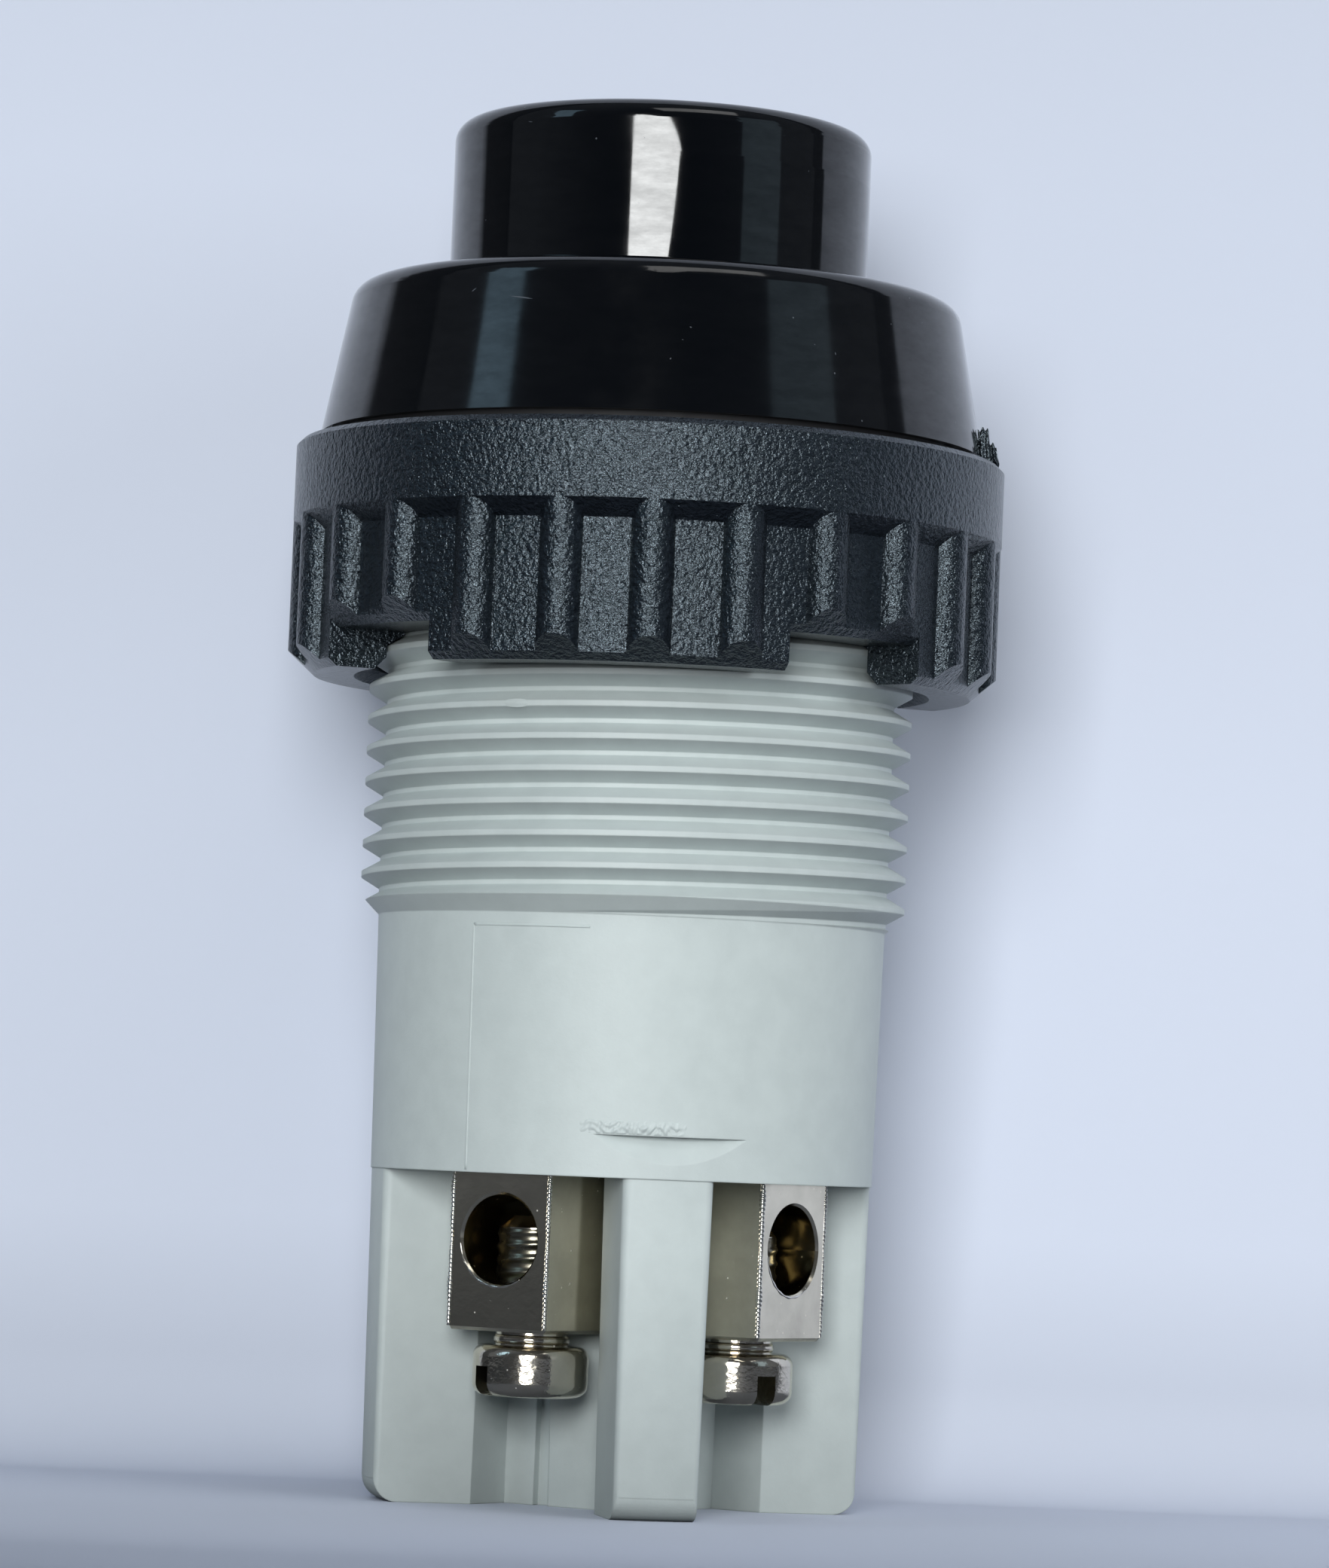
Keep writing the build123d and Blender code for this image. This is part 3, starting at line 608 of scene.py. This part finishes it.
# Marks on the grey barrel
BARREL_RADIUS, BARREL_DRAFT = 11.4 * MM, 0.15 * MM
THREAD_END, SHOULDER = -21.15 * MM, -32.5 * MM
BEAD_WIDTH, BEAD_HEIGHT, BEAD_SIDES = 0.12 * MM, 0.03 * MM, 10
PARTING_ANGLE, PARTING_TURN = CAMERA_SIDE - 37, 28
PARTING_TOP, PARTING_FOOT = THREAD_END - 0.57 * MM, SHOULDER + 0.1 * MM
PARTING_STEPS, PARTING_TOP_STEPS = 40, 30
SCAR_ANGLE, SCAR_SPREAD = CAMERA_SIDE + 2.2, 12.5
SCAR_LOW, SCAR_HIGH, SCAR_RELIEF = -30.62 * MM, -30.0 * MM, 0.11 * MM
SCAR_SUNK, SCAR_BACK = 0.02 * MM, BARREL_RADIUS * 0.97
SCAR_STEPS, SCAR_ROWS = 90, 22
LUMP_ANGLE, LUMP_LEVEL, LUMP_RADIUS = CAMERA_SIDE - 26.1, -12.15 * MM, 12.2 * MM
LUMP_RISE, LUMP_HALF_HEIGHT, LUMP_HALF_TURN = 0.08 * MM, 0.2 * MM, 0.72 * MM / (12.25 * MM)
LUMP_STEPS, LUMP_SIDES = 18, 28


def barrel_radius(z):
    """The drafted barrel's radius at a height under the thread."""
    return BARREL_RADIUS - BARREL_DRAFT * (THREAD_END - z) / (THREAD_END - SHOULDER)


def bead(name, angle, z):
    """A half-round bead that lies on the barrel along a path of angles in degrees and heights."""
    turn = np.radians(angle)
    r = barrel_radius(z)
    out = np.stack([np.cos(turn), np.sin(turn), 0 * turn], -1)
    middle = out * r[:, None] + np.stack([0 * z, 0 * z, z], -1)
    along = np.gradient(middle, axis=0)
    along /= np.linalg.norm(along, axis=1)[:, None]
    across = np.cross(along, out)
    s = circle(BEAD_SIDES)
    ring = np.cos(s)[None, :, None] * across[:, None] * BEAD_WIDTH / 2
    ring = ring + np.sin(s)[None, :, None] * out[:, None] * BEAD_HEIGHT
    piece = surface(name, closed_run(middle[:, None] + ring), wrap=True)
    return dress(piece, "base", GREY_MARK)


def parting_lines():
    """Mould parting lines down both sides of the barrel.

    At its top the left one turns along the thread's end.
    """
    down = np.linspace(PARTING_TOP, PARTING_FOOT, PARTING_STEPS)
    along = np.linspace(PARTING_ANGLE + PARTING_TURN, PARTING_ANGLE, PARTING_TOP_STEPS)
    bead("parting_line_left", np.full(PARTING_STEPS, PARTING_ANGLE), down)
    bead("parting_line_top", along, np.full(PARTING_TOP_STEPS, PARTING_TOP))
    bead("parting_line_right", np.full(PARTING_STEPS, PARTING_ANGLE + 180), down)


def scar_ridge():
    """Torn skin on the barrel: ripples in angle and height over the drafted radius.

    They fade at all four edges.
    """
    turn = np.linspace(-1, 1, SCAR_STEPS)[:, None]
    rise = np.linspace(0, 1, SCAR_ROWS)[None, :]
    z = SCAR_LOW + (SCAR_HIGH - SCAR_LOW) * rise + 0 * turn
    fade = (1 - turn**6) * np.sin(np.pi * rise) ** 0.5
    coarse = np.sin(17 * turn + 3 * np.sin(7 * turn + 0.4) + 4 * rise)
    ripple = coarse * np.sin(8 * rise + 5 * np.sin(11 * turn))
    ripple = ripple + 0.6 * np.sin(43 * turn + 4 * np.sin(13 * turn) - 6 * rise)
    r = barrel_radius(z) - SCAR_SUNK + SCAR_RELIEF * fade * (0.55 + 0.45 * ripple)
    a = np.radians(SCAR_ANGLE + SCAR_SPREAD * turn) + 0 * rise
    skin = np.stack([r * np.cos(a), r * np.sin(a), z], -1)
    back = np.stack([SCAR_BACK * np.cos(a), SCAR_BACK * np.sin(a), z], -1)[:, ::-1]
    piece = surface("scar_ridge", closed_run(np.concatenate([skin, back], 1)), wrap=True)
    return dress(piece, "base", GREY_MARK)


def crest_lump():
    """A flattened lump of plastic on one thread crest: an ellipsoid bent along the barrel."""
    u = np.linspace(0, np.pi, LUMP_STEPS)[:, None]
    v = circle(LUMP_SIDES)[None, :]
    wobble = 1 + 0.08 * np.sin(5 * v + 1) * np.sin(u)
    r = LUMP_RADIUS + LUMP_RISE * np.sin(u) * np.cos(v) * wobble
    a = math.radians(LUMP_ANGLE) + LUMP_HALF_TURN * np.cos(u) * (1 + 0 * v)
    z = LUMP_LEVEL + LUMP_HALF_HEIGHT * np.sin(u) * np.sin(v) * wobble
    piece = surface("crest_lump", np.stack([r * np.cos(a), r * np.sin(a), z], -1), wrap=True)
    return dress(piece, "base", GREY_MARK)


parting_lines()
scar_ridge()
crest_lump()

# Burrs on the terminal blocks
BLOCK_FACE, BLOCK_HALF_WIDTH = 9.3 * MM, 2.6 * MM
BLOCK_FOOT = -39.4 * MM
BURR_TOP, BURR_FOOT = SHOULDER + 0.05 * MM, BLOCK_FOOT + 0.15 * MM
BURR_SEAT, BURR_FLATNESS, ROPE_PITCH = 0.09 * MM, 0.55, 0.19 * MM
LEFT_BURR, RIGHT_BURR, ROPE_TWIST = 0.42 * MM, 0.34 * MM, 2
BURR_STEPS, BURR_SIDES = 240, 16
RIM_REACH, RIM_THICKNESS = WIRE_HOLE_RADIUS + 0.1 * MM, 0.075 * MM
RIM_START, RIM_SWEEP = 185, 120
RIM_STEPS, RIM_SIDES = 60, 10


def corner_burr(number, side, width, twist):
    """A rope-like burr down one outer corner of a block: slanted ridges on a strip of wandering width."""
    out = np.array(outward(number))
    across = np.array([-out[1], out[0], 0.0]) * side
    z = np.linspace(BURR_TOP, BURR_FOOT, BURR_STEPS)
    s = circle(BURR_SIDES)
    along = (z - SHOULDER)[:, None] / ROPE_PITCH
    rope = 0.5 + 0.5 * np.sin(2 * np.pi * along + twist * s[None, :])
    wander = 1 + 0.22 * np.sin(z / (0.61 * MM)) + 0.16 * np.sin(z / (0.23 * MM) + 1.3)
    radius = width / 2 * wander[:, None] * (0.72 + 0.28 * rope)
    lift = (radius * np.cos(s)[None, :] - BURR_SEAT)[..., None] * BURR_FLATNESS
    shift = (radius * np.sin(s)[None, :] - BURR_SEAT)[..., None] * BURR_FLATNESS
    point = out * (BLOCK_FACE + lift) + across * (BLOCK_HALF_WIDTH + shift)
    point = point + np.array([0, 0, 1.0]) * z[:, None, None]
    name = f"corner_burr_{number}_{'right' if side > 0 else 'left'}"
    return dress(surface(name, closed_run(point), wrap=True), "base", BURR)


def rim_burr(number):
    """A thin curl of metal along part of a wire hole's rim, thickest in its middle."""
    out = np.array(outward(number))
    across = np.array([-out[1], out[0], 0.0])
    up = np.array([0, 0, 1.0])
    t = np.linspace(0, 1, RIM_STEPS)
    a = np.radians(RIM_START + RIM_SWEEP * t)
    s = circle(RIM_SIDES)
    thick = RIM_THICKNESS * np.sin(np.pi * t) ** 0.5 * (0.75 + 0.25 * np.sin(41 * t))
    reach = RIM_REACH + thick[:, None] * np.cos(s)[None, :]
    lift = BLOCK_FACE + 0.5 * thick[:, None] * np.sin(s)[None, :]
    point = out * lift[..., None] + across * (reach * np.cos(a)[:, None])[..., None]
    point = point + up * (WIRE_HOLE_LEVEL + reach * np.sin(a)[:, None])[..., None]
    piece = surface(f"rim_burr_{number}", closed_run(point), wrap=True)
    return dress(piece, "base", BURR)


for number in TERMINALS:
    corner_burr(number, 1, RIGHT_BURR, ROPE_TWIST)
    corner_burr(number, -1, LEFT_BURR, -ROPE_TWIST)
    rim_burr(number)

# Pale ground behind and under the switch
FLOOR = -47.2 * MM
WALL = 17.2 * MM
COVE, COVE_STEPS = 5.5 * MM, 24
FRONT_REACH, SIDE_REACH, WALL_TOP = 0.7, 0.7, 0.6
LIT_LEFT, LIT_RIGHT, LIT_EDGE = -53 * MM, 140 * MM, 6 * MM
# Painted shade seen by the camera: the wall darkens between these two heights towards its top level, and
# the floor is a little darker than the wall
PAINTED_SHADE_LOW, PAINTED_SHADE_HIGH = -15 * MM, 25 * MM
FLOOR_PAINTED_SHADE, WALL_SHADE, TOP_PAINTED_SHADE, FLOOR_BOUNCE = 0.72, 0.75, 0.64, 0.15
PALE, FAR_DARK = (0.78, 0.835, 0.975, 1), (0.04, 0.042, 0.047, 1)


def pale_ground():
    """A floor that runs back, turns up through a quarter round behind the switch and goes on as a wall.

    It is pale to the camera, with painted shade that darkens the floor a little and the wall towards its
    top. In reflections and bounced light the floor and the far sides are darker.
    Seen from its back it is clear.
    """
    t = np.linspace(0, np.pi / 2, COVE_STEPS)
    y = np.concatenate([[-FRONT_REACH], WALL - COVE + COVE * np.sin(t), [WALL]])
    z = np.concatenate([[FLOOR], FLOOR + COVE - COVE * np.cos(t), [WALL_TOP]])
    turn = math.radians(CAMERA_AZIMUTH)
    across, along = np.meshgrid([-SIDE_REACH, SIDE_REACH], np.arange(len(y)), indexing="ij")
    px = across * math.cos(turn) - y[along] * math.sin(turn)
    py = across * math.sin(turn) + y[along] * math.cos(turn)
    ground = surface("pale_ground", np.stack([px, py, z[along]], -1))
    if sum(face.normal.z for face in ground.data.polygons) < 0:
        ground.data.flip_normals()
    material, tree, shader = new_material("pale_ground", Roughness=0.8, Specular_IOR_Level=0.1)
    place = put(tree, "ShaderNodeTexCoord").outputs["Object"]
    turned = put(tree, "ShaderNodeMapping", {"Vector": place, "Rotation": (0, 0, -turn)}).outputs[0]
    place = put(tree, "ShaderNodeSeparateXYZ", {0: turned}).outputs
    sides = times(
        tree,
        ramp(tree, place["X"], LIT_LEFT - LIT_EDGE, LIT_LEFT + LIT_EDGE),
        ramp(tree, place["X"], LIT_RIGHT + LIT_EDGE, LIT_RIGHT - LIT_EDGE),
    )
    lit = times(tree, sides, ramp(tree, place["Z"], FLOOR, FLOOR + COVE, FLOOR_BOUNCE, WALL_SHADE))
    # Painted shade to the camera: slightly darker floor (low) and a wall that darkens towards its top
    # (high)
    low = ramp(tree, place["Z"], FLOOR, FLOOR + 2 * COVE, FLOOR_PAINTED_SHADE, WALL_SHADE)
    high = ramp(tree, place["Z"], PAINTED_SHADE_LOW, PAINTED_SHADE_HIGH, 0.0, TOP_PAINTED_SHADE - WALL_SHADE)
    eye = put(tree, "ShaderNodeLightPath").outputs["Is Camera Ray"]
    share = put(tree, "ShaderNodeMix", {0: eye, 2: lit, 3: plus(tree, low, high)}).outputs[0]
    tree.links.new(blend(tree, share, FAR_DARK, PALE), shader.inputs["Base Color"])
    clear = put(tree, "ShaderNodeBsdfTransparent")
    behind = put(tree, "ShaderNodeNewGeometry").outputs["Backfacing"]
    mix = put(tree, "ShaderNodeMixShader", {0: behind, 1: shader.outputs[0], 2: clear.outputs[0]})
    tree.links.new(mix.outputs[0], tree.nodes["Material Output"].inputs["Surface"])
    ground.data.materials.append(material)


pale_ground()

# Light
FLAG_AWAY, FLAG_TOP, FLAG_HALF = 62 * MM, -36.5 * MM, 0.15
FLAG_SHADE = (0.01, 0.01, 0.01, 1)
LAMP_AIM = -16 * MM
ROOM_TINT = (0.82, 0.89, 1.0, 1)
ROOM_SIDES, ROOM_BEHIND_CAMERA, ROOM_TO_CAMERA = 0.15, 0.025, 0.6


def flag():
    """A dark card before the foot of the switch: it keeps the window's lower light off the base."""
    a = math.radians(CAMERA_SIDE)
    side = np.array([-FLAG_HALF, FLAG_HALF])[:, None]
    z = np.array([FLOOR, FLAG_TOP])[None, :] + 0 * side
    x = FLAG_AWAY * math.cos(a) - side * math.sin(a) + 0 * z
    y = FLAG_AWAY * math.sin(a) + side * math.cos(a) + 0 * z
    card = surface("flag", np.stack([x, y, z], -1))
    card.visible_camera = card.visible_diffuse = card.visible_glossy = card.visible_transmission = False
    card.data.materials.append(new_material("flag_card", Base_Color=FLAG_SHADE)[0])


def softbox(name, azimuth, elevation, distance, size, power, tint, seen=True, lean=0.0):
    """A rectangular lamp that faces the switch from a direction about it, leaning in its own plane.

    The azimuth counts from the camera's. A lamp that isn't seen gives no reflections.
    """
    data = bpy.data.lights.new(name, "AREA")
    data.shape, data.size, data.size_y = "RECTANGLE", size[0], size[1]
    data.energy, data.color = power, tint
    lamp = bpy.data.objects.new(name, data)
    a, e = math.radians(CAMERA_AZIMUTH + azimuth), math.radians(elevation)
    back = Vector((math.sin(a) * math.cos(e), -math.cos(a) * math.cos(e), math.sin(e)))
    lean = Matrix.Rotation(math.radians(lean), 4, "Z")
    turn = back.to_track_quat("Z", "Y").to_matrix().to_4x4() @ lean
    lamp.matrix_world = Matrix.Translation(Vector((0, 0, LAMP_AIM)) + back * distance) @ turn
    lamp.visible_glossy = seen
    lamp.visible_camera = False
    bpy.context.scene.collection.objects.link(lamp)


def dim_room():
    """Surroundings that are darkest behind the camera and brighten towards the sides.

    To the camera itself they are pale.
    """
    world = bpy.data.worlds.new("room")
    world.use_nodes = True
    tree = world.node_tree
    a = math.radians(CAMERA_SIDE)
    towards = put(tree, "ShaderNodeTexCoord").outputs["Generated"]
    share = vectors(tree, "DOT_PRODUCT", towards, (math.cos(a), math.sin(a), 0), "Value")
    unseen = ramp(tree, share, 0.3, 0.95, ROOM_SIDES, ROOM_BEHIND_CAMERA)
    eye = put(tree, "ShaderNodeLightPath").outputs["Is Camera Ray"]
    level = put(tree, "ShaderNodeMix", {0: eye, 2: unseen, 3: ROOM_TO_CAMERA}).outputs[0]
    tree.links.new(level, tree.nodes["Background"].inputs["Strength"])
    tree.nodes["Background"].inputs["Color"].default_value = ROOM_TINT
    bpy.context.scene.world = world


flag()
softbox("window", -6.5, 8.0, 0.6, (0.22, 0.3), 3.7, (0.98, 1.0, 1.0), lean=-6)
softbox("key", 25, 54, 0.7, (0.4, 0.22), 0.5, (1.0, 1.0, 0.99))
softbox("left_sky", -61, 30, 0.7, (0.17, 0.3), 0.24, (0.5, 0.78, 1.0))
softbox("right_sky", 56, 20, 0.7, (0.28, 0.4), 0.15, (0.62, 0.85, 1.0))
softbox("right_fill", 62, 18, 0.7, (0.4, 0.4), 1.9, (0.97, 0.99, 1.0), seen=False)
softbox("left_fill", -65, 14, 0.7, (0.4, 0.4), 0.6, (0.98, 1.0, 1.0), seen=False)
dim_room()
bpy.context.scene.view_settings.view_transform = "Standard"
